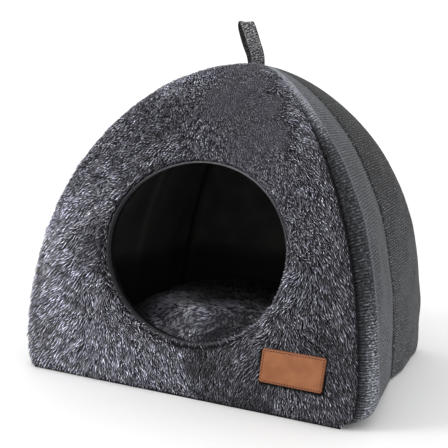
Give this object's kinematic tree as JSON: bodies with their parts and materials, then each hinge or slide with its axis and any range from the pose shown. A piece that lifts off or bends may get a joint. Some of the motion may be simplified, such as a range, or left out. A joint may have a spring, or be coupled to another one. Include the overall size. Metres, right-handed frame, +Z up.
{
  "type": "padded pet cave",
  "caption": "Domed padded cloth pet cave with a round doorway in a plush front, linen sides, an inner cushion and a carrying loop.",
  "frame": {"origin": "middle of the footprint, on the underside of the base", "axes": "+Z up, the doorway faces -Y, +X to the right of someone who looks at the doorway"},
  "size_m": [0.4172, 0.3721, 0.4222],
  "materials": {
    "plush": "deep charcoal plush pile",
    "linen": "flecked charcoal linen weave",
    "lining": "smooth near-black lining cloth",
    "base_cloth": "matt black base cloth",
    "binding": "smooth grey binding tape",
    "leather": "matt tan leatherette"
  },
  "bodies": {
    "root": {"front_panel": "plush", "side_left_front": "linen", "side_left_back": "linen", "side_right_front": "linen", "side_right_back": "linen", "back_panel": "linen", "lining": "lining", "base": "base_cloth", "cushion": "plush", "doorway_binding": "binding", "strap_loop": "linen", "label_patch": "leather"}
  },
  "joints": []
}
